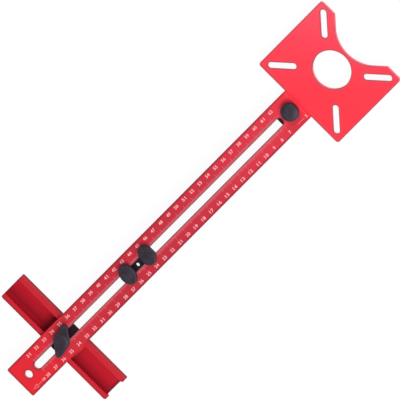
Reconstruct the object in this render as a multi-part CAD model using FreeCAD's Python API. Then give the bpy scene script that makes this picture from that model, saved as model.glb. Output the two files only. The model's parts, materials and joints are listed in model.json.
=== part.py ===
import FreeCAD, Part
import math
import os
from FreeCAD import Vector

# Router circle cutting jig, all sizes in millimetres.
# X runs along the arm: the router plate is at +X and the arm's free end at -X.
# Y runs across the arm. Z = 0 is the plate's underside, which slides on the work.
# The origin is the centre of the plate's large hole.

os.makedirs("parts", exist_ok=True)

# Thickness of the plate, of its tongue and of the arm
PLATE_T = 3.0
SHEET = 2.5
ARM_Z0 = SHEET
ARM_Z1 = 2 * SHEET
EDGE_BREAK = 0.25

# Router plate
PLATE_X0 = -42.7
PLATE_X1 = 36.6
PLATE_HALF_W = 45.0
PLATE_CORNER_R = 2.5
HOLE_R = 16.5
CUT_CENTRE_X = 49.1
CUT_R = 30.0
ROUTER_SLOT_HALF = 2.6
ROUTER_SLOT_MID_X = -2.25
ROUTER_SLOT_INNER = 19.65
ROUTER_SLOT_OUTER = 33.0
ROUTER_SLOT_RISE = 4.2
ROUTER_SLOT_SINK = 1.6

# Tongue of the plate under the arm
TONGUE_HALF_W = 15.0
TONGUE_X0 = -66.0
TONGUE_CORNER_R = 2.0

# Scale arm
ARM_X0 = -398.5
ARM_X1 = -42.8
ARM_HALF_W = 15.0
ARM_FREE_CORNER_R = 1.5
ARM_SLOT_X0 = -378.6
ARM_SLOT_X1 = -61.8
ARM_SLOT_HALF = 3.25
HANG_HOLE_X = -387.1
HANG_HOLE_R = 3.5

# Key in the plate end of the slot
KEY_HALF = 3.15
KEY_TIP_X = ARM_SLOT_X1 - 0.1
KEY_FLAT_X = -64.7
KEY_TOP = 4.8
RIVET_X = -63.4
RIVET_R = 1.0
RIVET_HEAD_R = 1.95

# Screws, studs and washers
SCREW_R = 2.5
SCREW_HOLE_R = 2.75
THREAD_GAP = 0.05
PRESS_GAP = 0.02
WASHER_IN_R = 2.65
WASHER_OUT_R = 5.0
WASHER_T = 1.0
WASHER_TOP = ARM_Z1 + WASHER_T

# Plate knob
PLATE_SCREW_X = -50.5
PLATE_SCREW_HEAD_R = 4.9
PLATE_KNOB_R = 7.85
PLATE_KNOB_HUB_R = 4.8
PLATE_KNOB_Z0 = 6.05
PLATE_KNOB_RIM_Z0 = 7.4
PLATE_KNOB_RIM_Z1 = 9.9
PLATE_KNOB_TOP = 11.8
PLATE_KNOB_FLUTES = 16

# Pivot slider
PIVOT_X = -245.2
PIVOT_HALF_L = 16.0
PIVOT_HALF_PITCH = 12.3
PIVOT_NECK_HALF = 3.15
PIVOT_NECK_TOP = 4.8
PIVOT_FLANGE_HALF = 7.5
PIVOT_FLANGE_Z0 = 0.2
PIVOT_FLANGE_Z1 = 2.4
PIN_HOLE_X = -246.2
PIN_HOLE_R = 1.5
PIN_WEB = 1.0
PIN_RECESS_R = 3.0
STUD_HEAD_R = 3.2
STUD_HEAD_T = 1.0
PIVOT_STUD_TOP = 7.9

# Oval pivot knobs
OVAL_ALONG = 7.0
OVAL_ACROSS = 9.0
OVAL_Z0 = 6.05
OVAL_CAP_Z0 = 6.4
OVAL_TOP = 9.2
OVAL_HUB_R = 4.5
OVAL_FLUTES = 16
OVAL_NEAR_TURN = 8.0
OVAL_FAR_TURN = 9.0

# Fence channel
FENCE_X = -342.7
FENCE_HALF_W = 13.1
FENCE_HALF_L = 59.5
FENCE_SHIFT_Y = 1.0
FENCE_WALL = 2.0
FENCE_LIP = 4.3
FENCE_LIP_T = 1.6
FENCE_TOP = 2.48
FENCE_BOTTOM = -5.0
FENCE_FLOOR_T = 1.8
FENCE_BOTTOM_R = 1.5
FENCE_CORNER_R = 1.8
FENCE_TIP_R = 2.2
FENCE_FLOOR_SHORT = 1.8

# Fence guide block
BLOCK_HALF_Y = 14.0
BLOCK_HALF_X = 10.9
BLOCK_THROAT_X = 8.6
BLOCK_THROAT_Z0 = 0.8
BLOCK_TOP = 2.45
BLOCK_NECK_X0 = -12.4
BLOCK_NECK_X1 = 16.2
BLOCK_NECK_HALF_Y = 3.15
BLOCK_NECK_Z0 = 2.5
BLOCK_NECK_TOP = 4.4
BLOCK_SCREW_Y = 9.5
BLOCK_SCREW_R = 2.0
BLOCK_SCREW_HEAD_R = 3.4

# Fence bolt and wing knob
BOLT_FLATS = 8.0
BOLT_HEAD_T = 3.5
FENCE_BOLT_TOP = 8.8
FENCE_WASHER_OUT_R = 6.0
WING_Z0 = 6.05
WING_HUB_R = 7.0
WING_REACH = 11.7
WING_TIP_R = 2.9
WING_BOTTOM = 6.6
WING_TOP = 9.6
WING_HUB_TOP = 10.4
WING_TURN = 30.0

INSERT_WALL = 1.0


def box(x0, x1, y0, y1, z0, z1):
    return Part.makeBox(x1 - x0, y1 - y0, z1 - z0, Vector(x0, y0, z0))


def cylinder(x, y, z0, z1, r):
    return Part.makeCylinder(r, z1 - z0, Vector(x, y, z0), Vector(0, 0, 1))


def cone(x, y, z0, z1, r0, r1):
    return Part.makeCone(r0, r1, z1 - z0, Vector(x, y, z0), Vector(0, 0, 1))


def ring(x, y, z0, z1, r_in, r_out):
    return cylinder(x, y, z0, z1, r_out).cut(cylinder(x, y, z0 - 1, z1 + 1, r_in))


def hexagon(x, y, z0, z1, flats):
    corners = []
    for i in range(7):
        a = math.radians(30 + 60 * i)
        r = flats / 2 / math.cos(math.radians(30))
        corners.append(Vector(x + r * math.cos(a), y + r * math.sin(a), z0))
    face = Part.Face(Part.makePolygon(corners))
    return face.extrude(Vector(0, 0, z1 - z0))


def turned(profile, x, y):
    points = [Vector(r, 0, z) for r, z in profile]
    points.append(points[0])
    face = Part.Face(Part.makePolygon(points))
    solid = face.revolve(Vector(0, 0, 0), Vector(0, 0, 1), 360)
    solid.translate(Vector(x, y, 0))
    return solid


def slot_wire(a, b, half, z):
    length = math.hypot(b[0] - a[0], b[1] - a[1])
    ux = (b[0] - a[0]) / length
    uy = (b[1] - a[1]) / length
    p1 = Vector(a[0] - uy * half, a[1] + ux * half, z)
    p2 = Vector(b[0] - uy * half, b[1] + ux * half, z)
    p3 = Vector(b[0] + uy * half, b[1] - ux * half, z)
    p4 = Vector(a[0] + uy * half, a[1] - ux * half, z)
    tip_b = Vector(b[0] + ux * half, b[1] + uy * half, z)
    tip_a = Vector(a[0] - ux * half, a[1] - uy * half, z)
    edges = [Part.makeLine(p1, p2)]
    edges.append(Part.Arc(p2, tip_b, p3).toShape())
    edges.append(Part.makeLine(p3, p4))
    edges.append(Part.Arc(p4, tip_a, p1).toShape())
    return Part.Wire(edges)


def slot_prism(a, b, half, z0, z1):
    face = Part.Face(slot_wire(a, b, half, z0))
    return face.extrude(Vector(0, 0, z1 - z0))


def corner_waste(x, y, sx, sy, r, z0, z1):
    """What is cut away to round a square corner at x, y; sx and sy point out of the material."""
    cx = x - sx * r
    cy = y - sy * r
    x1 = x + sx
    y1 = y + sy
    square = box(min(cx, x1), max(cx, x1), min(cy, y1), max(cy, y1), z0, z1)
    return square.cut(cylinder(cx, cy, z0 - 1, z1 + 1, r))


def upright_edges(shape, test):
    found = []
    for edge in shape.Edges:
        p = edge.Vertexes[0].Point
        q = edge.Vertexes[-1].Point
        if abs(p.x - q.x) < 1e-6 and abs(p.y - q.y) < 1e-6 and abs(p.z - q.z) > 0.1:
            if test(p):
                found.append(edge)
    return found


def outline_edges(shape, z):
    found = []
    for face in shape.Faces:
        low = face.BoundBox.ZMin
        high = face.BoundBox.ZMax
        if abs(low - z) < 1e-6 and abs(high - z) < 1e-6:
            found.extend(face.OuterWire.Edges)
    return found


def router_slot_ends():
    ends = []
    for sx in (-1, 1):
        for sy in (-1, 1):
            pair = []
            for reach in (ROUTER_SLOT_INNER, ROUTER_SLOT_OUTER):
                x = ROUTER_SLOT_MID_X + sx * reach
                y = sy * (reach + ROUTER_SLOT_RISE)
                pair.append((x, y))
            ends.append(pair)
    return ends


def router_slot(a, b):
    cut = slot_prism(a, b, ROUTER_SLOT_HALF, -1, PLATE_T + 1)
    mouth = slot_wire(a, b, ROUTER_SLOT_HALF + ROUTER_SLOT_SINK + 0.2, -0.2)
    throat = slot_wire(a, b, ROUTER_SLOT_HALF, ROUTER_SLOT_SINK)
    return cut.fuse(Part.makeLoft([mouth, throat], True, True))


def edge_cut_out():
    side = CUT_R * math.cos(math.radians(45))
    top = Vector(CUT_CENTRE_X - side, side, -1)
    low = Vector(CUT_CENTRE_X - side, -side, -1)
    apex = Vector(CUT_CENTRE_X - CUT_R, 0, -1)
    low_far = low + Vector(20, -20, 0)
    top_far = top + Vector(20, 20, 0)
    edges = [Part.Arc(top, apex, low).toShape()]
    edges.append(Part.makeLine(low, low_far))
    edges.append(Part.makeLine(low_far, top_far))
    edges.append(Part.makeLine(top_far, top))
    face = Part.Face(Part.Wire(edges))
    return face.extrude(Vector(0, 0, PLATE_T + 2))


def base_plate():
    plate = box(PLATE_X0, PLATE_X1, -PLATE_HALF_W, PLATE_HALF_W, 0, PLATE_T)
    plate = plate.makeFillet(PLATE_CORNER_R, upright_edges(plate, lambda p: True))
    tongue = box(TONGUE_X0, PLATE_X0 + 5, -TONGUE_HALF_W, TONGUE_HALF_W, 0, SHEET)
    ends = upright_edges(tongue, lambda p: p.x < TONGUE_X0 + 1)
    tongue = tongue.makeFillet(TONGUE_CORNER_R, ends)
    plate = plate.fuse(tongue).removeSplitter()
    plate = plate.cut(edge_cut_out())
    edges = outline_edges(plate, PLATE_T) + outline_edges(plate, 0)
    plate = plate.makeChamfer(EDGE_BREAK, edges)
    plate = plate.cut(cylinder(0, 0, -1, PLATE_T + 1, HOLE_R))
    for a, b in router_slot_ends():
        plate = plate.cut(router_slot(a, b))
    plate = plate.cut(cylinder(PLATE_SCREW_X, 0, -1, SHEET + 1, SCREW_HOLE_R))
    sink_r = PLATE_SCREW_HEAD_R + 0.25
    sink = cone(PLATE_SCREW_X, 0, 0, sink_r - SCREW_R, sink_r, SCREW_R)
    plate = plate.cut(sink)
    plate = plate.cut(cylinder(PLATE_SCREW_X, 0, -0.1, 0.01, sink_r))
    plate = plate.cut(cylinder(RIVET_X, 0, -1, SHEET + 1, RIVET_R + PRESS_GAP))
    head_r = RIVET_HEAD_R + 0.1
    plate = plate.cut(cone(RIVET_X, 0, -0.05, head_r - RIVET_R, head_r + 0.05, RIVET_R))
    return plate


def scale_arm():
    arm = box(ARM_X0, ARM_X1, -ARM_HALF_W, ARM_HALF_W, ARM_Z0, ARM_Z1)
    free = upright_edges(arm, lambda p: p.x < ARM_X0 + 1)
    arm = arm.makeFillet(ARM_FREE_CORNER_R, free)
    arm = arm.makeChamfer(EDGE_BREAK, outline_edges(arm, ARM_Z1) + outline_edges(arm, ARM_Z0))
    a = (ARM_SLOT_X0 + ARM_SLOT_HALF, 0)
    b = (ARM_SLOT_X1 - ARM_SLOT_HALF, 0)
    arm = arm.cut(slot_prism(a, b, ARM_SLOT_HALF, ARM_Z0 - 1, ARM_Z1 + 1))
    arm = arm.cut(cylinder(HANG_HOLE_X, 0, ARM_Z0 - 1, ARM_Z1 + 1, HANG_HOLE_R))
    arm = arm.cut(cylinder(PLATE_SCREW_X, 0, ARM_Z0 - 1, ARM_Z1 + 1, SCREW_HOLE_R))
    return arm


def slot_key():
    round_x = KEY_TIP_X - KEY_HALF
    key = cylinder(round_x, 0, SHEET, KEY_TOP, KEY_HALF)
    key = key.common(box(KEY_FLAT_X, KEY_TIP_X + 1, -5, 5, SHEET - 1, KEY_TOP + 1))
    return key.cut(cylinder(RIVET_X, 0, SHEET - 1, KEY_TOP - 0.4, RIVET_R + PRESS_GAP))


def slot_key_rivet():
    head = cone(RIVET_X, 0, 0.05, RIVET_HEAD_R - RIVET_R + 0.05, RIVET_HEAD_R, RIVET_R)
    return head.fuse(cylinder(RIVET_X, 0, 0.5, KEY_TOP - 0.5, RIVET_R)).removeSplitter()


def plate_screw():
    z1 = 0.05 + PLATE_SCREW_HEAD_R - SCREW_R
    head = cone(PLATE_SCREW_X, 0, 0.05, z1, PLATE_SCREW_HEAD_R, SCREW_R)
    shank = cylinder(PLATE_SCREW_X, 0, 1.8, PLATE_KNOB_RIM_Z1, SCREW_R)
    screw = head.fuse(shank).removeSplitter()
    return screw.cut(hexagon(PLATE_SCREW_X, 0, -1, 1.6, 3.0))


def plate_washer():
    return ring(PLATE_SCREW_X, 0, ARM_Z1, WASHER_TOP, WASHER_IN_R, WASHER_OUT_R)


def insert(x, z0, z1):
    inner = SCREW_R + THREAD_GAP
    return ring(x, 0, z0, z1, inner, inner + INSERT_WALL)


def insert_bore(x, z0, z1):
    return cylinder(x, 0, z0 - 1, z1, SCREW_R + THREAD_GAP + INSERT_WALL + PRESS_GAP)


def plate_knob():
    r = PLATE_KNOB_R
    profile = [(0, PLATE_KNOB_Z0), (PLATE_KNOB_HUB_R, PLATE_KNOB_Z0)]
    profile.append((PLATE_KNOB_HUB_R, PLATE_KNOB_RIM_Z0 - 1.2))
    profile.append((r - 0.5, PLATE_KNOB_RIM_Z0 - 0.2))
    profile.append((r, PLATE_KNOB_RIM_Z0 + 0.3))
    profile.append((r, PLATE_KNOB_RIM_Z1 - 0.5))
    rise = PLATE_KNOB_TOP - PLATE_KNOB_RIM_Z1 + 0.5
    for i in range(1, 9):
        a = math.radians(90 * i / 8)
        profile.append((r * math.cos(a), PLATE_KNOB_RIM_Z1 - 0.5 + rise * math.sin(a)))
    profile[-1] = (0, PLATE_KNOB_TOP)
    knob = turned(profile, PLATE_SCREW_X, 0)
    for i in range(PLATE_KNOB_FLUTES):
        a = 2 * math.pi * i / PLATE_KNOB_FLUTES
        x = PLATE_SCREW_X + (r + 0.65) * math.cos(a)
        y = (r + 0.65) * math.sin(a)
        knob = knob.cut(cylinder(x, y, PLATE_KNOB_RIM_Z0 - 2, PLATE_KNOB_TOP, 0.95))
    return knob.cut(insert_bore(PLATE_SCREW_X, PLATE_KNOB_Z0, PLATE_KNOB_RIM_Z1 + 0.4))


def plate_knob_insert():
    return insert(PLATE_SCREW_X, PLATE_KNOB_Z0, PLATE_KNOB_RIM_Z1 + 0.3)


def pivot_slider():
    x0 = PIVOT_X - PIVOT_HALF_L
    x1 = PIVOT_X + PIVOT_HALF_L
    flange = box(x0, x1, -PIVOT_FLANGE_HALF, PIVOT_FLANGE_HALF, PIVOT_FLANGE_Z0, PIVOT_FLANGE_Z1)
    flange = flange.makeFillet(1.5, upright_edges(flange, lambda p: True))
    neck = box(x0, x1, -PIVOT_NECK_HALF, PIVOT_NECK_HALF, PIVOT_FLANGE_Z1 - 0.5, PIVOT_NECK_TOP)
    neck = neck.makeFillet(1.5, upright_edges(neck, lambda p: True))
    slider = flange.fuse(neck).removeSplitter()
    slider = slider.cut(cylinder(PIN_HOLE_X, 0, -1, PIVOT_NECK_TOP + 1, PIN_HOLE_R))
    web = PIVOT_NECK_TOP - PIN_WEB
    slider = slider.cut(cylinder(PIN_HOLE_X, 0, -1, web, PIN_RECESS_R))
    for side in (-1, 1):
        x = PIVOT_X + side * PIVOT_HALF_PITCH
        slider = slider.cut(cylinder(x, 0, -1, PIVOT_NECK_TOP + 1, SCREW_R + PRESS_GAP))
        recess = PIVOT_FLANGE_Z0 + 0.1 + STUD_HEAD_T
        slider = slider.cut(cylinder(x, 0, -1, recess, STUD_HEAD_R + 0.1))
    return slider


def pivot_studs():
    studs = []
    for side in (-1, 1):
        x = PIVOT_X + side * PIVOT_HALF_PITCH
        z0 = PIVOT_FLANGE_Z0 + 0.1
        head = cylinder(x, 0, z0, z0 + STUD_HEAD_T, STUD_HEAD_R)
        shank = cylinder(x, 0, z0, PIVOT_STUD_TOP, SCREW_R)
        studs.append(head.fuse(shank).removeSplitter())
    return Part.makeCompound(studs)


def pivot_washers():
    rings = []
    for side in (-1, 1):
        x = PIVOT_X + side * PIVOT_HALF_PITCH
        rings.append(ring(x, 0, ARM_Z1, WASHER_TOP, WASHER_IN_R, WASHER_OUT_R))
    return Part.makeCompound(rings)


def oval_knob(x, turn):
    ellipse = Part.Ellipse(Vector(0, 0, OVAL_CAP_Z0), OVAL_ACROSS, OVAL_ALONG)
    face = Part.Face(Part.Wire([ellipse.toShape()]))
    cap = face.extrude(Vector(0, 0, OVAL_TOP - OVAL_CAP_Z0))
    top = [e for e in cap.Edges if e.BoundBox.ZMin > OVAL_TOP - 0.01]
    cap = cap.makeFillet(1.1, top)
    for i in range(OVAL_FLUTES):
        a = 2 * math.pi * (i + 0.5) / OVAL_FLUTES
        fx = (OVAL_ACROSS + 0.55) * math.cos(a)
        fy = (OVAL_ALONG + 0.55) * math.sin(a)
        cap = cap.cut(cylinder(fx, fy, OVAL_Z0, OVAL_TOP + 1, 0.85))
    hub = cylinder(0, 0, OVAL_Z0, OVAL_CAP_Z0 + 0.5, OVAL_HUB_R)
    knob = cap.fuse(hub).removeSplitter()
    knob = knob.cut(insert_bore(0, OVAL_Z0, PIVOT_STUD_TOP + 0.4))
    knob.rotate(Vector(0, 0, 0), Vector(0, 0, 1), 90 - turn)
    knob.translate(Vector(x, 0, 0))
    return knob


def pivot_knob_near():
    return oval_knob(PIVOT_X + PIVOT_HALF_PITCH, OVAL_NEAR_TURN)


def pivot_knob_far():
    return oval_knob(PIVOT_X - PIVOT_HALF_PITCH, OVAL_FAR_TURN)


def pivot_insert_near():
    return insert(PIVOT_X + PIVOT_HALF_PITCH, OVAL_Z0, PIVOT_STUD_TOP + 0.3)


def pivot_insert_far():
    return insert(PIVOT_X - PIVOT_HALF_PITCH, OVAL_Z0, PIVOT_STUD_TOP + 0.3)


def fence_channel():
    w = FENCE_HALF_W
    lip = w - FENCE_LIP
    inner = w - FENCE_WALL
    under = FENCE_TOP - FENCE_LIP_T
    floor = FENCE_BOTTOM + FENCE_FLOOR_T
    section = [(-w, FENCE_TOP), (-lip, FENCE_TOP), (-lip, under), (-inner, under)]
    section += [(-inner, floor), (inner, floor), (inner, under), (lip, under)]
    section += [(lip, FENCE_TOP), (w, FENCE_TOP), (w, FENCE_BOTTOM), (-w, FENCE_BOTTOM)]
    y0 = FENCE_SHIFT_Y - FENCE_HALF_L
    points = [Vector(FENCE_X + x, y0, z) for x, z in section]
    points.append(points[0])
    face = Part.Face(Part.makePolygon(points))
    channel = face.extrude(Vector(0, 2 * FENCE_HALF_L, 0))
    rounded = []
    for edge in channel.Edges:
        b = edge.BoundBox
        low = abs(b.ZMax - FENCE_BOTTOM) < 0.01
        if low and b.YLength > 100 and abs(abs(b.Center.x - FENCE_X) - w) < 0.01:
            rounded.append(edge)
    channel = channel.makeFillet(FENCE_BOTTOM_R, rounded)
    z0 = FENCE_BOTTOM - 1
    z1 = FENCE_TOP + 1
    for sx in (-1, 1):
        for sy in (-1, 1):
            x = FENCE_X + sx * w
            y = FENCE_SHIFT_Y + sy * FENCE_HALF_L
            channel = channel.cut(corner_waste(x, y, sx, sy, FENCE_CORNER_R, z0, z1))
        x = FENCE_X + sx * lip
        channel = channel.cut(corner_waste(x, y0, -sx, -1, FENCE_TIP_R, under - 0.5, z1))
    short = box(-inner, inner, y0 - 1, y0 + FENCE_FLOOR_SHORT, FENCE_BOTTOM - 1, floor + 0.5)
    short = short.makeFillet(1.0, upright_edges(short, lambda p: p.y > y0))
    short.translate(Vector(FENCE_X, 0, 0))
    channel = channel.cut(short)
    for side in (-1, 1):
        y = side * BLOCK_SCREW_Y
        channel = channel.cut(cylinder(FENCE_X, y, FENCE_BOTTOM - 1, floor + 1, BLOCK_SCREW_R + 0.15))
        sink_r = BLOCK_SCREW_HEAD_R + 0.2
        z0 = FENCE_BOTTOM - 0.1
        sink = cone(FENCE_X, y, z0, z0 + sink_r + 0.1 - BLOCK_SCREW_R, sink_r + 0.1, BLOCK_SCREW_R)
        channel = channel.cut(sink)
    return channel


def fence_guide_block():
    floor = FENCE_BOTTOM + FENCE_FLOOR_T
    y = BLOCK_HALF_Y
    body = box(-BLOCK_HALF_X, BLOCK_HALF_X, -y, y, floor, BLOCK_THROAT_Z0)
    throat = box(-BLOCK_THROAT_X, BLOCK_THROAT_X, -y, y, BLOCK_THROAT_Z0 - 1, BLOCK_TOP)
    k = BLOCK_NECK_HALF_Y
    neck = box(BLOCK_NECK_X0, BLOCK_NECK_X1, -k, k, BLOCK_NECK_Z0, BLOCK_NECK_TOP)
    core = box(-BLOCK_THROAT_X, BLOCK_THROAT_X, -k, k, BLOCK_TOP - 1, BLOCK_NECK_TOP)
    block = body.fuse([throat, neck, core]).removeSplitter()
    block = block.cut(cylinder(0, 0, floor - 1, BLOCK_NECK_TOP + 1, SCREW_R + PRESS_GAP))
    pocket = floor + BOLT_HEAD_T + 0.1
    block = block.cut(hexagon(0, 0, floor - 1, pocket, BOLT_FLATS + 0.2))
    for side in (-1, 1):
        hole = cylinder(0, side * BLOCK_SCREW_Y, floor - 1, 0.2, BLOCK_SCREW_R + PRESS_GAP)
        block = block.cut(hole)
    block.translate(Vector(FENCE_X, 0, 0))
    return block


def fence_block_screws():
    screws = []
    for side in (-1, 1):
        y = side * BLOCK_SCREW_Y
        z0 = FENCE_BOTTOM + 0.05
        z1 = z0 + BLOCK_SCREW_HEAD_R - BLOCK_SCREW_R
        head = cone(FENCE_X, y, z0, z1, BLOCK_SCREW_HEAD_R, BLOCK_SCREW_R)
        shank = cylinder(FENCE_X, y, z1 - 0.5, 0.0, BLOCK_SCREW_R)
        screw = head.fuse(shank).removeSplitter()
        screws.append(screw.cut(hexagon(FENCE_X, y, z0 - 1, z0 + 1.2, 2.5)))
    return Part.makeCompound(screws)


def fence_bolt():
    z0 = FENCE_BOTTOM + FENCE_FLOOR_T + 0.05
    head = hexagon(FENCE_X, 0, z0, z0 + BOLT_HEAD_T, BOLT_FLATS)
    shank = cylinder(FENCE_X, 0, z0 + 1, FENCE_BOLT_TOP, SCREW_R)
    return head.fuse(shank).removeSplitter()


def fence_washer():
    return ring(FENCE_X, 0, ARM_Z1, WASHER_TOP, WASHER_IN_R, FENCE_WASHER_OUT_R)


def wing_wire():
    lean = math.acos((WING_HUB_R - WING_TIP_R) / WING_REACH)
    hub_x = WING_HUB_R * math.cos(lean)
    hub_y = WING_HUB_R * math.sin(lean)
    tip_x = WING_REACH + WING_TIP_R * math.cos(lean)
    tip_y = WING_TIP_R * math.sin(lean)
    z = WING_BOTTOM
    edges = []
    for side in (1, -1):
        tip_a = Vector(side * tip_x, side * tip_y, z)
        tip_b = Vector(side * tip_x, -side * tip_y, z)
        hub_b = Vector(side * hub_x, -side * hub_y, z)
        hub_c = Vector(-side * hub_x, -side * hub_y, z)
        next_a = Vector(-side * tip_x, -side * tip_y, z)
        edges.append(Part.Arc(tip_a, Vector(side * (WING_REACH + WING_TIP_R), 0, z), tip_b).toShape())
        edges.append(Part.makeLine(tip_b, hub_b))
        edges.append(Part.Arc(hub_b, Vector(0, -side * WING_HUB_R, z), hub_c).toShape())
        edges.append(Part.makeLine(hub_c, next_a))
    return Part.Wire(edges)


def fence_wing_knob():
    r = WING_HUB_R - 0.4
    profile = [(0, WING_Z0), (r - 0.4, WING_Z0), (r, WING_Z0 + 0.4)]
    profile += [(r - 0.2, WING_TOP - 1.0), (r - 0.9, WING_TOP + 0.1)]
    profile += [(r - 2.4, WING_HUB_TOP - 0.2), (0, WING_HUB_TOP)]
    knob = turned(profile, 0, 0)
    bar = Part.Face(wing_wire()).extrude(Vector(0, 0, WING_TOP - WING_BOTTOM))
    rims = []
    for edge in bar.Edges:
        if edge.BoundBox.ZLength < 0.01:
            rims.append(edge)
    bar = bar.makeFillet(0.9, rims)
    knob = knob.fuse(bar).removeSplitter()
    knob = knob.cut(insert_bore(0, WING_Z0, FENCE_BOLT_TOP + 0.4))
    knob.rotate(Vector(0, 0, 0), Vector(0, 0, 1), WING_TURN)
    knob.translate(Vector(FENCE_X, 0, 0))
    return knob


def fence_knob_insert():
    return insert(FENCE_X, WING_Z0, FENCE_BOLT_TOP + 0.3)


PARTS = {
    "base_plate": base_plate,
    "scale_arm": scale_arm,
    "slot_key": slot_key,
    "slot_key_rivet": slot_key_rivet,
    "plate_screw": plate_screw,
    "plate_washer": plate_washer,
    "plate_knob": plate_knob,
    "plate_knob_insert": plate_knob_insert,
    "pivot_slider": pivot_slider,
    "pivot_studs": pivot_studs,
    "pivot_washers": pivot_washers,
    "pivot_knob_near": pivot_knob_near,
    "pivot_knob_far": pivot_knob_far,
    "pivot_insert_near": pivot_insert_near,
    "pivot_insert_far": pivot_insert_far,
    "fence_channel": fence_channel,
    "fence_guide_block": fence_guide_block,
    "fence_block_screws": fence_block_screws,
    "fence_bolt": fence_bolt,
    "fence_washer": fence_washer,
    "fence_wing_knob": fence_wing_knob,
    "fence_knob_insert": fence_knob_insert,
}

for name, make in PARTS.items():
    shape = make()
    if not shape.isValid():
        raise RuntimeError(name + " is not a valid shape")
    shape.exportStep("parts/" + name + ".step")
    size = shape.BoundBox
    print(name, len(shape.Solids), round(size.XLength, 2), round(size.YLength, 2), round(size.ZLength, 2))
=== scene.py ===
import json
import math

import bmesh
import bpy
from mathutils import Matrix, Vector
from mathutils.geometry import delaunay_2d_cdt, intersect_point_tri_2d


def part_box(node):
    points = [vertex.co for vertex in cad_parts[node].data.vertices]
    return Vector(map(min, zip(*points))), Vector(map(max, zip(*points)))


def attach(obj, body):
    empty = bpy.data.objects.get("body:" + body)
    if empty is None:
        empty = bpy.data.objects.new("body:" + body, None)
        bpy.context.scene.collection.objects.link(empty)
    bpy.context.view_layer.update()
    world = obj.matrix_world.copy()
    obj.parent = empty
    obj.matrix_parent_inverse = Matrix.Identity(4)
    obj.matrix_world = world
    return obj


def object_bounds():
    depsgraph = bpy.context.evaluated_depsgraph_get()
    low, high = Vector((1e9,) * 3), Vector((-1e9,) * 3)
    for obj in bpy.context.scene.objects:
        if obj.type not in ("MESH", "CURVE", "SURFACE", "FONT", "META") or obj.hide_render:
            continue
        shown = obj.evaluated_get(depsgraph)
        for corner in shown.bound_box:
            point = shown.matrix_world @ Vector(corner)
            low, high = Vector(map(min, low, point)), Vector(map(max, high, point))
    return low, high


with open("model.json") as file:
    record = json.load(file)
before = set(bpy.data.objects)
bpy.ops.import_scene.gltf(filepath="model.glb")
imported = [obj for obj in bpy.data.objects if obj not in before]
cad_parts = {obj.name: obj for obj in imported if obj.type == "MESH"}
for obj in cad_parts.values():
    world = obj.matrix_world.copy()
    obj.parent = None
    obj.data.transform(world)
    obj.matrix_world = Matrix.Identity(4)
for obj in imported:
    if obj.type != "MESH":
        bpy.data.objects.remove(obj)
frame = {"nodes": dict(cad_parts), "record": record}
cad_box = [list(corner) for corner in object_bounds()]

# Looks of the router circle cutting jig, in metres, in the frame of the solids: +X points along the arm
# from its free end to the router plate, +Y across the arm and +Z up. The solids keep their shapes. They
# get their finishes here, and the printed scale is added on the arm's top.

MM = 0.001
WHITE = (1.0, 1.0, 1.0, 1.0)
MOUNTS = {mount["name"]: mount for mount in frame["record"]["mounts"]}

# Camera fit: tilt from vertical, roll, the point shown at the picture's centre, and the picture's scale
VIEW_TILT = math.radians(26.6)
VIEW_ROLL = math.radians(-0.13)
AIM = Vector((-0.1666, 0.0010, 0.0025))
PIXELS_PER_MM = 1.24
LONGER_SIDE_PIXELS = 401
LENS_MM = 1500.0
SENSOR_MM = 36.0
CLIP_START = 0.1
CLIP_BEYOND = 20.0

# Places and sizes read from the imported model
ARM_LOW, ARM_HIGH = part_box("scale_arm")
FENCE_LOW, FENCE_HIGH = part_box("fence_channel")
PLATE_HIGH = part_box("base_plate")[1]
PLATE_KNOB_X = sum(corner.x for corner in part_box("plate_knob")) / 2
ARM_TOP = ARM_HIGH.z
CENTRE_HOLE_RADIUS = MOUNTS["centre_hole"]["dims"]["r_mm"] * MM
HANG_HOLE_RADIUS = MOUNTS["hang_hole"]["dims"]["r_mm"] * MM
HANG_HOLE_X = MOUNTS["hang_hole"]["pos_m"][0]
ROUTER_SLOT_MIDDLE_X = MOUNTS["router_slots"]["pos_m"][0]

# Outlines of the solids that no box or mount gives: plate, router slots, arm slot and channel floor
PLATE_START_X = -0.0427
SCOOP_X = 0.0491
SCOOP_RADIUS = 0.0300
ROUTER_SLOT_INNER = 0.01965
ROUTER_SLOT_OUTER = 0.0330
ROUTER_SLOT_RISE = 0.0042
ROUTER_SLOT_RADIUS = 0.0026
ARM_SLOT_MIDDLE_X = -0.2202
ARM_SLOT_LENGTH = 0.3168
ARM_SLOT_RADIUS = 0.00325
FENCE_FLOOR_SHORT = 0.0018

# Widths of two dark rim lines of painted shade, as shares of the other lines' width
SHOULDER_LINE_WIDTH = 5 / 3
HANG_HOLE_LINE_WIDTH = 1 / 2

# Printed rows: one number for each centimetre, and two numbers that face each other add up to NUMBER_SUM
FIRST_NUMBER = 7
LAST_NUMBER = 38
NUMBER_SUM = 69
NUMBER_PITCH_MM = 10
ROW_ZERO_X = 0.0053
LOWER_ROW_Y = -0.0115
UPPER_ROW_Y = 0.0109
DIGIT_HEIGHT = 0.0028
DIGIT_WIDTH = 0.0020
DIGIT_GAP = 0.0002
NARROW_ELEVEN = 0.8
LONE_FIVE_SHIFT = 0.0006
LONE_FIVE_WIDTH = 0.0015
INK_RISE = 0.00003
INK_SINK = 0.00001

# Ticks, outwards from the arm's centre line; the upper row's long ones stand midway between its numbers
TICKS_BEFORE_FIRST = 3
LOWER_TICK_SHIFT = 0
UPPER_TICK_SHIFT = 5
TICK_START = 0.0036
TICK_END = 0.0052
FIVE_TICK_END = 0.0059
LOWER_TEN_TICK_END = 0.0074
UPPER_TEN_TICK_END = 0.0076
TICK_HALF = 0.00010
TEN_TICK_HALF = 0.00011

# Marks beside the lower row's numbers, from the row's line towards the slot
ROW_MARK_START = 0.0021
ROW_MARK_END = 0.0030

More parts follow.
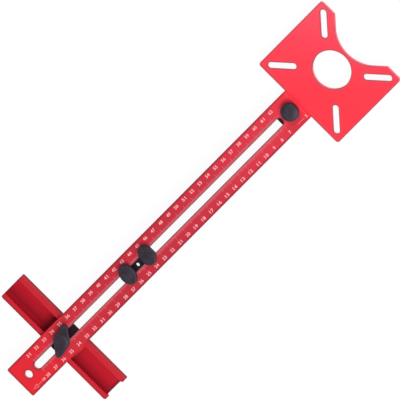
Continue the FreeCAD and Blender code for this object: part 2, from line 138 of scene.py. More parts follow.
# Arrow, unit and short line; the first two are placed from the lower row's last number
ARROW_TAIL = 0.0076
ARROW_LENGTH = 0.0114
ARROW_HEAD = 0.0056
ARROW_HALF = 0.0019
ARROW_LINE_HALF = 0.00025
HEAD_HOLLOW_BACK = 0.00050
HEAD_HOLLOW_HALF = 0.00098
HEAD_HOLLOW_TIP = 0.00095
UNIT_SHIFT = 0.0056
UNIT_HEIGHT = 0.0022
UNIT_WIDTH = 0.0032
SHORT_LINE_START_X = -0.0550
SHORT_LINE_END_X = -0.0465
SHORT_LINE_HALF = 0.0002

# Lettering: how its strokes are outlined and joined, in the text's own units
STROKE_SWELL = 0.018
CURVE_STEPS = 2
WELD_DISTANCE = 0.0001
FACES_INSIDE = 1

# Floor and lamps
FLOOR_GAP = 0.0003
FLOOR_Z = cad_box[0][2] - FLOOR_GAP
FLOOR_RADIUS = 8.0
FLOOR_SEGMENTS = 96
FLOOR_WHITE_SHARE = 0.94
WORLD_STRENGTH = 0.30
KEY_LIGHT = {
    "place": (0.05, -0.87, 1.11),
    "target": (-0.18, 0.0, 0.0),
    "size": (2.2, 1.4),
    "power": 33.5,
    "colour": (1.0, 0.99, 0.98),
}
FILL_LIGHT = {
    "place": (0.90, 0.60, 1.00),
    "target": (-0.05, 0.0, 0.0),
    "size": (0.7, 0.7),
    "power": 7.5,
    "colour": (0.80, 0.88, 1.0),
}


# Objects and meshes

def add_object(name, data):
    thing = bpy.data.objects.new(name, data)
    bpy.context.scene.collection.objects.link(thing)
    return thing


def add_mesh(name, bm, material):
    mesh = bpy.data.meshes.new(name)
    bm.to_mesh(mesh)
    bm.free()
    mesh.materials.append(material)
    return add_object(name, mesh)


# Node helpers

def rgb(red, green, blue):
    return (red, green, blue, 1.0)


def new_material(name):
    mat = bpy.data.materials.new(name)
    mat.use_nodes = True
    tree = mat.node_tree
    return mat, tree, tree.nodes["Principled BSDF"]


def coordinates(tree, scale=(1.0, 1.0, 1.0)):
    coord = tree.nodes.new("ShaderNodeTexCoord")
    mapping = tree.nodes.new("ShaderNodeMapping")
    mapping.inputs["Scale"].default_value = scale
    tree.links.new(coord.outputs["Object"], mapping.inputs["Vector"])
    return mapping.outputs["Vector"]


def split_axis(tree, vector, axis):
    split = tree.nodes.new("ShaderNodeSeparateXYZ")
    tree.links.new(vector, split.inputs["Vector"])
    return split.outputs[axis]


def object_axis(tree, axis):
    """The place along one axis of the frame."""
    coord = tree.nodes.new("ShaderNodeTexCoord")
    return split_axis(tree, coord.outputs["Object"], axis)


def normal_axis(tree, axis):
    """How far the face itself looks along one axis, from -1 to 1."""
    geometry = tree.nodes.new("ShaderNodeNewGeometry")
    return split_axis(tree, geometry.outputs["True Normal"], axis)


def noise(tree, vector, scale, detail, roughness):
    node = tree.nodes.new("ShaderNodeTexNoise")
    node.inputs["Scale"].default_value = scale
    node.inputs["Detail"].default_value = detail
    node.inputs["Roughness"].default_value = roughness
    tree.links.new(vector, node.inputs["Vector"])
    return node.outputs["Fac"]


def ramp(tree, factor, stops):
    node = tree.nodes.new("ShaderNodeValToRGB")
    elements = node.color_ramp.elements
    elements[0].position, elements[0].color = stops[0]
    elements[1].position, elements[1].color = stops[-1]
    for position, colour in stops[1:-1]:
        elements.new(position).color = colour
    tree.links.new(factor, node.inputs["Fac"])
    return node.outputs["Color"]


def scaled_range(tree, value, low, high, start=0.0, end=1.0):
    """low up to start, high from end on, and in proportion between them."""
    node = tree.nodes.new("ShaderNodeMapRange")
    node.inputs["From Min"].default_value = start
    node.inputs["From Max"].default_value = end
    node.inputs["To Min"].default_value = low
    node.inputs["To Max"].default_value = high
    tree.links.new(value, node.inputs["Value"])
    return node.outputs["Result"]


def rise(tree, value, start, end, top=1.0):
    """0 up to start, and top from end on."""
    return scaled_range(tree, value, 0.0, top, start, end)


def fall(tree, value, start, end, top=1.0):
    """top up to start, and 0 from end on."""
    return scaled_range(tree, value, top, 0.0, start, end)


def by_side(tree, y, minus, plus):
    """One value at -Y and another at +Y, for faces clear of the centre line."""
    return scaled_range(tree, y, minus, plus, start=-0.001, end=0.001)


def maths(tree, operation, *values):
    node = tree.nodes.new("ShaderNodeMath")
    node.operation = operation
    for value, socket in zip(values, node.inputs):
        if isinstance(value, (int, float)):
            socket.default_value = value
        else:
            tree.links.new(value, socket)
    return node.outputs["Value"]


def chained(tree, operation, first, *others):
    for other in others:
        first = maths(tree, operation, first, other)
    return first


def product(tree, *values):
    return chained(tree, "MULTIPLY", *values)


def least(tree, *values):
    return chained(tree, "MINIMUM", *values)


def mixed(tree, factor, first, second):
    node = tree.nodes.new("ShaderNodeMix")
    node.data_type = "RGBA"
    tree.links.new(factor, node.inputs["Factor"])
    for name, value in (("A", first), ("B", second)):
        socket = [s for s in node.inputs if s.name == name and s.type == "RGBA"][0]
        if isinstance(value, tuple):
            socket.default_value = value
        else:
            tree.links.new(value, socket)
    return [s for s in node.outputs if s.type == "RGBA"][0]


def bump(tree, shader, height, strength, distance):
    node = tree.nodes.new("ShaderNodeBump")
    node.inputs["Strength"].default_value = strength
    node.inputs["Distance"].default_value = distance
    tree.links.new(height, node.inputs["Height"])
    tree.links.new(node.outputs["Normal"], shader.inputs["Normal"])


def distance_to_slot(tree, x, y, middle_x, half_run, radius):
    """Distance from a straight slot with round ends that runs along x; a round hole has no run."""
    away = maths(tree, "ABSOLUTE", maths(tree, "SUBTRACT", x, middle_x))
    over = maths(tree, "MAXIMUM", maths(tree, "SUBTRACT", away, half_run), 0.0)
    square = maths(tree, "ADD", product(tree, over, over), product(tree, y, y))
    return maths(tree, "SUBTRACT", maths(tree, "SQRT", square), radius)


# Kinds of finish

def anodised(name, place, stops, metallic, specular, rim, rim_width, rim_shade_depth, rim_shade_colour, wall_light_colour,
             under_rim=None, over_rim=None):
    """Satin anodised aluminium: painted light and shade that drift slowly along each part by its stops,
    random blotches and faint streaks of deeper tone, fine grain, and painted shade along the rims.

    Walls that look along +X get a painted highlight of their own. A part's own marks, painted light and
    shade among them, go on by under_rim and over_rim.
    """
    mat, tree, shader = new_material(name)
    where = coordinates(tree)
    drawn_out = coordinates(tree, scale=(0.06, 1.0, 1.0))
    blotch = noise(tree, where, scale=28.0, detail=3.0, roughness=0.55)
    streak = noise(tree, drawn_out, scale=900.0, detail=3.0, roughness=0.65)
    grain = noise(tree, where, scale=3800.0, detail=2.0, roughness=0.6)
    blotch_share = 0.65
    streak_share = 1.0 - blotch_share
    tone = maths(tree, "ADD", product(tree, blotch, blotch_share), product(tree, streak, streak_share))
    colour = ramp(tree, place(tree), stops)
    deep = fall(tree, tone, start=0.30, end=0.72, top=0.16)
    colour = mixed(tree, deep, colour, rgb(0.42, 0.010, 0.020))
    if under_rim:
        colour = under_rim(tree, colour)
    # Painted shade: a dark line along every rim
    edge = fall(tree, rim(tree), start=0.0, end=rim_width, top=rim_shade_depth)
    colour = mixed(tree, edge, colour, rim_shade_colour)
    # Painted highlight on walls that look along +X
    wall = rise(tree, normal_axis(tree, "X"), start=0.40, end=0.85, top=0.85)
    colour = mixed(tree, wall, colour, wall_light_colour)
    if over_rim:
        colour = over_rim(tree, colour)
    tree.links.new(colour, shader.inputs["Base Color"])
    shader.inputs["Metallic"].default_value = metallic
    shader.inputs["Specular IOR Level"].default_value = specular
    shader.inputs["Specular Tint"].default_value = rgb(1.0, 0.45, 0.48)
    rough = scaled_range(tree, streak, low=0.36, high=0.50)
    tree.links.new(rough, shader.inputs["Roughness"])
    bump(tree, shader, grain, strength=0.10, distance=0.00003)
    return mat


def moulded(name, body, light, rough, specular, grain_scale):
    """Matt black or charcoal with a fine grain, slightly uneven in tone and roughness."""
    mat, tree, shader = new_material(name)
    where = coordinates(tree)
    cells = tree.nodes.new("ShaderNodeTexVoronoi")
    cells.inputs["Scale"].default_value = grain_scale
    tree.links.new(where, cells.inputs["Vector"])
    blotch = noise(tree, where, scale=160.0, detail=4.0, roughness=0.6)
    colour = ramp(tree, blotch, ((0.35, body), (0.70, light)))
    tree.links.new(colour, shader.inputs["Base Color"])
    uneven = scaled_range(tree, blotch, low=rough - 0.05, high=rough + 0.10)
    tree.links.new(uneven, shader.inputs["Roughness"])
    shader.inputs["Specular IOR Level"].default_value = specular
    bump(tree, shader, cells.outputs["Distance"], strength=0.25, distance=0.00005)
    return mat


def turned_metal(name, body, dark, rough):
    """Plated or turned metal with fine streaks round it."""
    mat, tree, shader = new_material(name)
    where = coordinates(tree, scale=(1.0, 1.0, 14.0))
    streak = noise(tree, where, scale=420.0, detail=4.0, roughness=0.6)
    colour = ramp(tree, streak, ((0.30, dark), (0.70, body)))
    tree.links.new(colour, shader.inputs["Base Color"])
    shader.inputs["Metallic"].default_value = 1.0
    uneven = scaled_range(tree, streak, low=rough - 0.06, high=rough + 0.08)
    tree.links.new(uneven, shader.inputs["Roughness"])
    bump(tree, shader, streak, strength=0.10, distance=0.00004)
    return mat


def printed(name, speckle_scale, stops):
    """Thin printed ink, slightly uneven where the red shows through."""
    mat, tree, shader = new_material(name)
    speckle = noise(tree, coordinates(tree), scale=speckle_scale, detail=3.0, roughness=0.6)
    tree.links.new(ramp(tree, speckle, stops), shader.inputs["Base Color"])
    uneven = scaled_range(tree, speckle, low=0.5, high=0.65)
    tree.links.new(uneven, shader.inputs["Roughness"])
    return mat


# Router plate

def across_plate(tree):
    """0 to 1 across the plate, from its -X -Y side to its +X +Y side."""
    both = maths(tree, "ADD", object_axis(tree, "X"), object_axis(tree, "Y"))
    return rise(tree, both, start=-0.06, end=0.09)


def distance_to_router_slots(tree, x, side):
    """Distance from the nearest router slot. The four mirror each other and run at 45 degrees."""
    turned = math.sqrt(0.5)
    away = maths(tree, "ABSOLUTE", maths(tree, "SUBTRACT", x, ROUTER_SLOT_MIDDLE_X))
    along = product(tree, maths(tree, "ADD", away, side), turned)
    across = product(tree, maths(tree, "SUBTRACT", side, away), turned)
    across = maths(tree, "SUBTRACT", across, ROUTER_SLOT_RISE * turned)
    inner = (2 * ROUTER_SLOT_INNER + ROUTER_SLOT_RISE) * turned
    outer = (2 * ROUTER_SLOT_OUTER + ROUTER_SLOT_RISE) * turned
    middle = (inner + outer) / 2
    half_run = (outer - inner) / 2
    return distance_to_slot(tree, along, across, middle, half_run, ROUTER_SLOT_RADIUS)


def plate_rim(tree):
    """Distance from the plate's nearest edge: outline, shoulder at the arm, scoop, hole or router slot."""
    x = object_axis(tree, "X")
    y = object_axis(tree, "Y")
    side = maths(tree, "ABSOLUTE", y)
    sides = maths(tree, "SUBTRACT", PLATE_HIGH.y, side)
    far_edge = maths(tree, "SUBTRACT", PLATE_HIGH.x, x)
    from_start = maths(tree, "SUBTRACT", x, PLATE_START_X)
    under_arm = maths(tree, "SUBTRACT", ARM_HIGH.y, side)
    shoulder = maths(tree, "MAXIMUM", from_start, under_arm)
    shoulder = maths(tree, "DIVIDE", shoulder, SHOULDER_LINE_WIDTH)
    scoop = distance_to_slot(tree, x, y, SCOOP_X, 0.0, SCOOP_RADIUS)
    hole = distance_to_slot(tree, x, y, 0.0, 0.0, CENTRE_HOLE_RADIUS)
    slots = distance_to_router_slots(tree, x, side)
    return least(tree, sides, far_edge, shoulder, scoop, hole, slots)


# The plate's red pales towards its +X +Y side: a painted sheen of light from that side
PLATE_RED_AND_SHEEN = (
    (0.00, rgb(0.98, 0.039, 0.062)),
    (0.25, rgb(0.98, 0.041, 0.064)),
    (0.63, rgb(0.98, 0.057, 0.089)),
    (0.85, rgb(0.98, 0.078, 0.115)),
    (1.00, rgb(0.98, 0.110, 0.150)),
)
PLATE_RED = anodised(
    "plate_red",
    place=across_plate,
    stops=PLATE_RED_AND_SHEEN,
    metallic=0.25,
    specular=0.40,
    rim=plate_rim,
    rim_width=0.0017,
    rim_shade_depth=0.90,
    rim_shade_colour=rgb(0.33, 0.070, 0.095),
    wall_light_colour=rgb(1.0, 0.15, 0.19),
)


# Scale arm

def along_arm(tree):
    """0 to 1 along the arm, from just past its free end to just past the plate."""
    return rise(tree, object_axis(tree, "X"), start=-0.40, end=0.04)


def arm_rim(tree):
    """Distance from the arm's nearest edge, outline or hanging hole.

    Over the fence the sides count as further away, so that they show no dark line of painted shade there.
    """
    x = object_axis(tree, "X")
    y = object_axis(tree, "Y")
    side = maths(tree, "SUBTRACT", ARM_HIGH.y, maths(tree, "ABSOLUTE", y))
    outside = 0.0030
    inside = 0.0005
    further = 0.0014
    past_start = rise(tree, x, FENCE_LOW.x - outside, FENCE_LOW.x + inside, top=further)
    before_end = fall(tree, x, FENCE_HIGH.x - inside, FENCE_HIGH.x + outside, top=further)
    side = maths(tree, "ADD", side, least(tree, past_start, before_end))
    free_end = maths(tree, "SUBTRACT", x, ARM_LOW.x)
    hole = distance_to_slot(tree, x, y, HANG_HOLE_X, 0.0, HANG_HOLE_RADIUS)
    hole = maths(tree, "DIVIDE", hole, HANG_HOLE_LINE_WIDTH)
    return least(tree, side, free_end, hole)


def ruled_band(tree, colour):
    """Greyish ruled band along the arm's long slot, with a dark line of painted shade round the slot's
    edge.
    """
    x = object_axis(tree, "X")
    y = object_axis(tree, "Y")
    slot_start = ARM_SLOT_MIDDLE_X - ARM_SLOT_LENGTH / 2
    slot_end = ARM_SLOT_MIDDLE_X + ARM_SLOT_LENGTH / 2
    half_run = ARM_SLOT_LENGTH / 2 - ARM_SLOT_RADIUS
    away = distance_to_slot(tree, x, y, ARM_SLOT_MIDDLE_X, half_run, ARM_SLOT_RADIUS)
    begins = rise(tree, x, start=slot_start + 0.0024, end=slot_start + 0.0048)
    stops = fall(tree, x, start=slot_end - 0.0067, end=slot_end - 0.0042)
    # Towards the plate the band is a little wider at -Y
    wider = product(tree, by_side(tree, y, minus=0.0007, plus=0.0), rise(tree, x, start=-0.255, end=-0.235))
    band = fall(tree, maths(tree, "SUBTRACT", away, wider), start=0.0012, end=0.0032, top=0.76)
    band = product(tree, band, least(tree, begins, stops))
    colour = mixed(tree, band, colour, rgb(0.55, 0.105, 0.135))
    # Painted shade: a dark line round the slot's edge
    line = fall(tree, away, start=0.0001, end=0.0017)
    return mixed(tree, line, colour, rgb(0.13, 0.040, 0.055))


def arm_end(tree, colour):
    """Painted shadow of the plate knob on the arm at -Y; the end wall keeps only a faint painted highlight,
    close in tone to the faces beside it.
    """
    x = object_axis(tree, "X")
    from_knob = maths(tree, "SUBTRACT", x, PLATE_KNOB_X)
    side = fall(tree, object_axis(tree, "Y"), start=-0.0080, end=-0.0030, top=0.85)
    begins = rise(tree, from_knob, start=-0.0175, end=-0.0095)
    knob_shadow_fade = scaled_range(tree, from_knob, low=1.0, high=0.4, start=0.0005, end=0.0065)
    # Painted shadow of the plate knob at -Y
    colour = mixed(tree, product(tree, side, begins, knob_shadow_fade), colour, rgb(0.56, 0.026, 0.048))
    # Faint painted highlight on the arm's end wall
    wall = rise(tree, x, start=ARM_HIGH.x - 0.0004, end=ARM_HIGH.x - 0.0001, top=0.8)
    return mixed(tree, wall, colour, rgb(0.98, 0.066, 0.096))


# Painted light along the arm: the red is lighter towards both ends and brightest beside the plate
ARM_RED_AND_LIGHT_FALLOFF = (
    (0.00, rgb(0.84, 0.022, 0.036)),
    (0.06, rgb(0.79, 0.022, 0.036)),
    (0.14, rgb(0.64, 0.027, 0.043)),
    (0.28, rgb(0.54, 0.027, 0.044)),
    (0.46, rgb(0.54, 0.028, 0.047)),
    (0.56, rgb(0.57, 0.030, 0.050)),
    (0.66, rgb(0.64, 0.034, 0.057)),
    (0.76, rgb(0.69, 0.037, 0.058)),
    (0.79, rgb(0.96, 0.038, 0.061)),
)
ARM_RED = anodised(
    "arm_red",
    place=along_arm,
    stops=ARM_RED_AND_LIGHT_FALLOFF,
    metallic=0.25,
    specular=0.42,
    rim=arm_rim,
    rim_width=0.0022,
    rim_shade_depth=0.91,
    rim_shade_colour=rgb(0.22, 0.020, 0.034),
    wall_light_colour=rgb(1.0, 0.14, 0.18),
    under_rim=ruled_band,
    over_rim=arm_end,
)


# Fence channel

def up_channel(tree):
    """0 to 1 from the channel's underside to its lips."""
    return rise(tree, object_axis(tree, "Z"), start=-0.004, end=0.003)


def fence_rim(tree):
    """Distance from the channel's ends and its side away from the plate; the floor ends earlier at -Y."""
    y = object_axis(tree, "Y")
    z = object_axis(tree, "Z")
    side = maths(tree, "SUBTRACT", object_axis(tree, "X"), FENCE_LOW.x)
    floor_start = FENCE_LOW.y + FENCE_FLOOR_SHORT
    start = scaled_range(tree, z, low=floor_start, high=FENCE_LOW.y, start=-0.0010, end=0.0)
    from_start = maths(tree, "SUBTRACT", y, start)
    from_end = maths(tree, "SUBTRACT", FENCE_HIGH.y, y)
    return least(tree, side, from_start, from_end)


def channel_floor(tree, colour):
    """Painted light and shade on the channel's floor, which is painted lighter at -Y and towards the plate.

    The arm leaves a painted shadow on it at +Y and a painted highlight line at -Y, and the floor is darker
    near its -Y end. Away from the plate lies a band of painted shade from the lips, which begins at the
    wall at -Y and behind a lighter strip at +Y.
    """
    x = maths(tree, "SUBTRACT", object_axis(tree, "X"), FENCE_LOW.x)
    y = object_axis(tree, "Y")
    past_arm = maths(tree, "SUBTRACT", maths(tree, "ABSOLUTE", y), ARM_HIGH.y)
    at_minus = by_side(tree, y, minus=1.0, plus=0.0)
    at_plus = by_side(tree, y, minus=0.0, plus=1.0)
    floor = fall(tree, object_axis(tree, "Z"), start=-0.0015, end=0.0)
    lit_side = product(tree, at_minus, 0.30)
    lit_near_plate = rise(tree, x, start=0.0153, end=0.0178, top=0.60)
    open_end = fall(tree, y, start=FENCE_LOW.y + 0.0024, end=FENCE_LOW.y + 0.0050, top=0.80)
    arm_shadow = fall(tree, past_arm, start=0.0020, end=0.0088, top=0.75)
    arm_shadow = product(tree, arm_shadow, rise(tree, past_arm, start=-0.0002, end=0.0022), at_plus)
    arm_highlight_line = product(tree, fall(tree, past_arm, start=0.0008, end=0.0019, top=0.75), at_minus)
    lip_shade_reach = fall(tree, x, start=0.0080, end=0.0145, top=0.72)
    lip_shade_at_minus = product(tree, at_minus, 0.78)
    lip_shade_at_plus = product(tree, at_plus, rise(tree, x, start=0.0042, end=0.0066))
    lip_shade = product(tree, maths(tree, "ADD", lip_shade_at_minus, lip_shade_at_plus), lip_shade_reach)
    # Each mask mixes painted light or shade into the floor only
    for mask, tone in (
        (lit_side, rgb(0.62, 0.014, 0.028)),
        (lit_near_plate, rgb(0.62, 0.020, 0.034)),
        (open_end, rgb(0.12, 0.008, 0.016)),
        (arm_shadow, rgb(0.20, 0.006, 0.014)),
        (arm_highlight_line, rgb(0.98, 0.050, 0.080)),
        (lip_shade, rgb(0.20, 0.006, 0.014)),
    ):
        colour = mixed(tree, product(tree, mask, floor), colour, tone)
    return colour


def channel_foot(tree, colour):
    """Painted shade on the channel's outer wall towards the plate, which gets darker downwards."""
    x = object_axis(tree, "X")
    foot = scaled_range(tree, object_axis(tree, "Z"), low=0.85, high=0.15, start=-0.0036, end=0.0020)
    wall = rise(tree, x, start=FENCE_HIGH.x - 0.0008, end=FENCE_HIGH.x - 0.0004)
    # Painted shade at the foot of the outer wall
    return mixed(tree, product(tree, foot, wall), colour, rgb(0.18, 0.012, 0.021))


# Painted shade in the channel's recess: darker towards its underside, lighter at the lips
FENCE_RED_AND_RECESS_SHADE = (
    (0.0, rgb(0.46, 0.009, 0.020)),
    (0.5, rgb(0.50, 0.012, 0.024)),
    (1.0, rgb(0.60, 0.024, 0.038)),
)
FENCE_RED = anodised(
    "fence_red",
    place=up_channel,
    stops=FENCE_RED_AND_RECESS_SHADE,
    metallic=0.20,
    specular=0.10,
    rim=fence_rim,
    rim_width=0.0017,
    rim_shade_depth=0.85,
    rim_shade_colour=rgb(0.20, 0.014, 0.026),
    wall_light_colour=rgb(0.54, 0.024, 0.037),
    under_rim=channel_floor,
    over_rim=channel_foot,
)


# Black parts, metal and ink

KNOB_BLACK = moulded(
    "knob_black",
    body=rgb(0.020, 0.014, 0.023),
    light=rgb(0.039, 0.029, 0.044),
    rough=0.46,
    specular=0.26,
    grain_scale=2600.0,
)
GUIDE_BLACK = moulded(
    "guide_black",
    body=rgb(0.014, 0.004, 0.006),
    light=rgb(0.026, 0.008, 0.012),
    rough=0.50,
    specular=0.08,
    grain_scale=2600.0,
)
SLIDER_BLACK = moulded(
    "slider_black",
    body=rgb(0.008, 0.005, 0.007),
    light=rgb(0.018, 0.012, 0.016),
    rough=0.42,
    specular=0.14,
    grain_scale=4200.0,
)
STEEL = turned_metal("zinc_steel", body=rgb(0.66, 0.66, 0.68), dark=rgb(0.48, 0.49, 0.52), rough=0.32)
BRASS = turned_metal("turned_brass", body=rgb(0.76, 0.60, 0.30), dark=rgb(0.60, 0.44, 0.18), rough=0.30)
INK = printed(
    "printed_ink",
    speckle_scale=5200.0,
    stops=((0.30, rgb(0.81, 0.29, 0.31)), (0.60, rgb(0.85, 0.41, 0.43))),
)
FAINT_INK = printed(
    "faint_ink",
    speckle_scale=4200.0,
    stops=((0.30, rgb(0.72, 0.09, 0.11)), (0.70, rgb(0.84, 0.20, 0.22))),
)

SLOT_MATERIALS = {
    "plate_red": PLATE_RED,
    "arm_red": ARM_RED,
    "fence_red": FENCE_RED,
    "knob_black": KNOB_BLACK,
    "guide_black": GUIDE_BLACK,
    "slider_black": SLIDER_BLACK,
    "steel": STEEL,
    "brass": BRASS,
}


def dress_nodes():
    """Each node's solid gets the material of its slot in the record."""
    for entry in frame["record"]["subparts"]:
        node = frame["nodes"][entry["node"]]
        material = SLOT_MATERIALS[entry["material_slot"]]
        if not node.material_slots:
            node.data.materials.append(material)
        for holder in node.material_slots:
            holder.material = material


# Printed marks

def flat_shape(bm, points, faces):
    """A thin raised print: faces on shared points, with walls only along their outer edges."""
    low = [bm.verts.new((x, y, ARM_TOP - INK_SINK)) for x, y in points]
    high = [bm.verts.new((x, y, ARM_TOP + INK_RISE)) for x, y in points]
    edges = {(face[i - 1], face[i]) for face in faces for i in range(len(face))}
    for face in faces:
        bm.faces.new([high[i] for i in face])
        bm.faces.new([low[i] for i in reversed(face)])
    for i, j in sorted(edges):
        if (j, i) not in edges:
            bm.faces.new((low[i], low[j], high[j], high[i]))


def bar(bm, x0, x1, y0, y1):
    """A print with straight sides along X and Y."""
    flat_shape(bm, ((x0, y0), (x1, y0), (x1, y1), (x0, y1)), [(0, 1, 2, 3)])


def add_words(bm, words, x, y, height, width):
    """Adds flat raised lettering centred on a point, reading along +X."""
    curve = bpy.data.curves.new("words", "FONT")
    curve.body = words
    curve.resolution_u = CURVE_STEPS
    curve.offset = STROKE_SWELL
    holder = add_object("words", curve)
    bpy.context.view_layer.update()
    graph = bpy.context.evaluated_depsgraph_get()
    mesh = bpy.data.meshes.new_from_object(holder.evaluated_get(graph))
    outline = [v.co.xy for v in mesh.vertices]
    filled = [list(face.vertices) for face in mesh.polygons]
    triangles = [[outline[i] for i in face] for face in filled]
    # Strokes that run over each other are joined, so that no two faces lie in one place
    points, _, faces = delaunay_2d_cdt(outline, [], filled, FACES_INSIDE, WELD_DISTANCE)[:3]
    middles = [sum((points[i] for i in face), Vector((0.0, 0.0))) / len(face) for face in faces]
    faces = [face for face, middle in zip(faces, middles)
             if any(intersect_point_tri_2d(middle, *triangle) for triangle in triangles)]
    xs = [point.x for point in points]
    ys = [point.y for point in points]
    sx = width / (max(xs) - min(xs))
    sy = height / (max(ys) - min(ys))
    left = x - width / 2 - min(xs) * sx
    foot = y - height / 2 - min(ys) * sy
    flat_shape(bm, [(left + point.x * sx, foot + point.y * sy) for point in points], faces)
    bpy.data.meshes.remove(mesh)
    bpy.data.objects.remove(holder)
    bpy.data.curves.remove(curve)


def finish_print(name, bm, material):
    """Makes a print a piece of its own, which rides on the arm."""
    bmesh.ops.recalc_face_normals(bm, faces=bm.faces)
    piece = add_mesh(name, bm, material)
    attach(piece, "arm_and_plate")


def scale_x(millimetres):
    """Where a reading of the lower row lies along the arm."""
    return ROW_ZERO_X - millimetres * MM


def number_x(number):
    return scale_x(number * NUMBER_PITCH_MM)


def scale_numbers():
    """Numbers of both rows, which rise in opposite directions, and a lone 5 near the plate."""
    bm = bmesh.new()
    for number in range(FIRST_NUMBER, LAST_NUMBER + 1):
        for value, y in ((number, LOWER_ROW_Y), (NUMBER_SUM - number, UPPER_ROW_Y)):
            digits = len(str(value))
            width = DIGIT_WIDTH * digits + DIGIT_GAP * (digits - 1)
            if value == 11:
                width *= NARROW_ELEVEN
            add_words(bm, str(value), number_x(number), y, DIGIT_HEIGHT, width)
    add_words(bm, "5", number_x(5) + LONE_FIVE_SHIFT, LOWER_ROW_Y, DIGIT_HEIGHT, LONE_FIVE_WIDTH)
    finish_print("scale_numbers", bm, INK)


def scale_ticks():
    """Millimetre ticks along both slot edges, longer at 5 and 10 mm."""
    bm = bmesh.new()
    rows = (
        (-1, LOWER_TICK_SHIFT, LOWER_TEN_TICK_END),
        (1, UPPER_TICK_SHIFT, UPPER_TEN_TICK_END),
    )
    first = FIRST_NUMBER * NUMBER_PITCH_MM - TICKS_BEFORE_FIRST
    last = LAST_NUMBER * NUMBER_PITCH_MM
    for millimetres in range(first, last + 1):
        x = scale_x(millimetres)
        for side, shift, ten_tick_end in rows:
            reach, half = TICK_END, TICK_HALF
            place = (millimetres + shift) % NUMBER_PITCH_MM
            if place == NUMBER_PITCH_MM / 2:
                reach = FIVE_TICK_END
            if place == 0:
                reach, half = ten_tick_end, TEN_TICK_HALF
            y0, y1 = sorted((side * TICK_START, side * reach))
            bar(bm, x - half, x + half, y0, y1)
    finish_print("scale_ticks", bm, FAINT_INK)


def row_marks():
    """Short marks beside the lower numbers, between them and the ticks."""
    bm = bmesh.new()
    for number in range(FIRST_NUMBER, LAST_NUMBER + 1):
        x = number_x(number)
        bar(bm, x - TICK_HALF, x + TICK_HALF, LOWER_ROW_Y + ROW_MARK_START, LOWER_ROW_Y + ROW_MARK_END)
    finish_print("row_marks", bm, FAINT_INK)


def arrow_mark():
    """Open arrow with a line behind it, beyond the lower row's last number, pointing at the free end."""
    y = LOWER_ROW_Y
    tail = number_x(LAST_NUMBER) - ARROW_TAIL
    tip = tail - ARROW_LENGTH
    back = tip + ARROW_HEAD
    points = (
        (tip, y),
        (back, y - ARROW_HALF),
        (back, y - ARROW_LINE_HALF),
        (back, y + ARROW_LINE_HALF),
        (back, y + ARROW_HALF),
        (back - HEAD_HOLLOW_BACK, y + HEAD_HOLLOW_HALF),
        (back - HEAD_HOLLOW_BACK, y - HEAD_HOLLOW_HALF),
        (tip + HEAD_HOLLOW_TIP, y),
        (tail, y - ARROW_LINE_HALF),
        (tail, y + ARROW_LINE_HALF),
    )
    bm = bmesh.new()
    flat_shape(bm, points, [(0, 1, 6, 7), (6, 1, 2, 3, 4, 5), (7, 5, 4, 0), (2, 8, 9, 3)])
    finish_print("arrow_mark", bm, FAINT_INK)


def unit_mark():
    """The unit, between the arrow and the lower row's last number."""
    bm = bmesh.new()
    add_words(bm, "CM", number_x(LAST_NUMBER) - UNIT_SHIFT, LOWER_ROW_Y, UNIT_HEIGHT, UNIT_WIDTH)
    finish_print("unit_mark", bm, INK)


def short_line():
    """Short line at the arm's plate end, in line with the lower row."""
    bm = bmesh.new()
    y = LOWER_ROW_Y
    bar(bm, SHORT_LINE_START_X, SHORT_LINE_END_X, y - SHORT_LINE_HALF, y + SHORT_LINE_HALF)
    finish_print("short_line", bm, FAINT_INK)


# Studio

def studio_floor():
    """Pale matt floor that the camera sees as white, directly, in gloss and through glass."""
    mat, tree, shader = new_material("studio_floor")
    cloud = noise(tree, coordinates(tree), scale=2.0, detail=2.0, roughness=0.5)
    colour = ramp(tree, cloud, ((0.2, rgb(0.93, 0.93, 0.93)), (0.8, rgb(0.96, 0.96, 0.96))))
    tree.links.new(colour, shader.inputs["Base Color"])
    shader.inputs["Roughness"].default_value = 0.9
    glow = tree.nodes.new("ShaderNodeEmission")
    glow.inputs["Color"].default_value = WHITE
    glow.inputs["Strength"].default_value = 1.0
    path = tree.nodes.new("ShaderNodeLightPath")
    rays = [path.outputs[kind] for kind in ("Is Camera Ray", "Is Glossy Ray", "Is Transmission Ray")]
    seen = chained(tree, "MAXIMUM", *rays)
    mix = tree.nodes.new("ShaderNodeMixShader")
    tree.links.new(product(tree, seen, FLOOR_WHITE_SHARE), mix.inputs["Fac"])
    tree.links.new(shader.outputs["BSDF"], mix.inputs[1])
    tree.links.new(glow.outputs["Emission"], mix.inputs[2])
    tree.links.new(mix.outputs["Shader"], tree.nodes["Material Output"].inputs["Surface"])
    bm = bmesh.new()
    bmesh.ops.create_circle(bm, cap_ends=True, segments=FLOOR_SEGMENTS, radius=FLOOR_RADIUS)
    floor = add_mesh("studio_floor", bm, mat)
    floor.location = (AIM.x, AIM.y, FLOOR_Z)


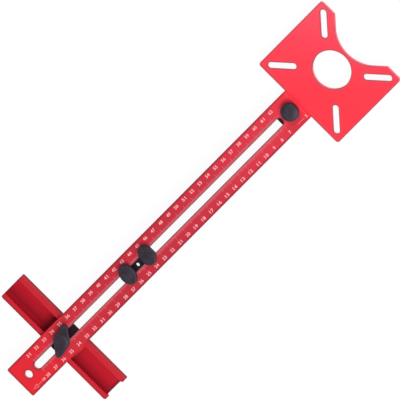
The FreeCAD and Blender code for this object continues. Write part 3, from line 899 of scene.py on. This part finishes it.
def studio_world():
    """Soft even light from all round, behind which the camera sees white."""
    world = bpy.data.worlds.new("studio_world")
    bpy.context.scene.world = world
    world.use_nodes = True
    tree = world.node_tree
    tree.nodes.clear()
    output = tree.nodes.new("ShaderNodeOutputWorld")
    soft = tree.nodes.new("ShaderNodeBackground")
    soft.inputs["Color"].default_value = rgb(0.97, 0.98, 1.0)
    soft.inputs["Strength"].default_value = WORLD_STRENGTH
    white = tree.nodes.new("ShaderNodeBackground")
    white.inputs["Color"].default_value = WHITE
    white.inputs["Strength"].default_value = 1.0
    path = tree.nodes.new("ShaderNodeLightPath")
    mix = tree.nodes.new("ShaderNodeMixShader")
    tree.links.new(path.outputs["Is Camera Ray"], mix.inputs["Fac"])
    tree.links.new(soft.outputs["Background"], mix.inputs[1])
    tree.links.new(white.outputs["Background"], mix.inputs[2])
    tree.links.new(mix.outputs["Shader"], output.inputs["Surface"])


def area_light(name, place, target, size, power, colour):
    data = bpy.data.lights.new(name, "AREA")
    data.shape = "RECTANGLE"
    data.size, data.size_y = size
    data.energy = power
    data.color = colour
    lamp = add_object(name, data)
    lamp.location = place
    aim = Vector(target) - Vector(place)
    lamp.rotation_euler = aim.to_track_quat("-Z", "Y").to_euler()


def studio_camera():
    """A long lens at the photograph's angle, with the arm running up the picture from its lower left."""
    back = Vector((math.sin(VIEW_TILT), 0.0, math.cos(VIEW_TILT)))
    along = Vector((math.cos(VIEW_TILT), 0.0, -math.sin(VIEW_TILT)))
    across = Vector((0.0, 1.0, 0.0))
    turn = Matrix.Rotation(VIEW_ROLL, 3, back)
    right = turn @ (along - across).normalized()
    up = turn @ (along + across).normalized()
    span = LONGER_SIDE_PIXELS / PIXELS_PER_MM * MM
    distance = span * LENS_MM / SENSOR_MM
    data = bpy.data.cameras.new("camera")
    data.type = "PERSP"
    data.sensor_fit = "AUTO"
    data.sensor_width = SENSOR_MM
    data.lens = LENS_MM
    data.clip_start = CLIP_START
    data.clip_end = distance + CLIP_BEYOND
    camera = add_object("camera", data)
    facing = Matrix((right, up, back)).transposed().to_4x4()
    camera.matrix_world = Matrix.Translation(AIM + back * distance) @ facing
    bpy.context.scene.camera = camera


dress_nodes()
scale_numbers()
scale_ticks()
row_marks()
arrow_mark()
unit_mark()
short_line()
studio_floor()
studio_world()
area_light("key", **KEY_LIGHT)
area_light("fill", **FILL_LIGHT)
studio_camera()

bpy.context.scene.view_settings.view_transform = "Standard"

bpy.context.view_layer.update()
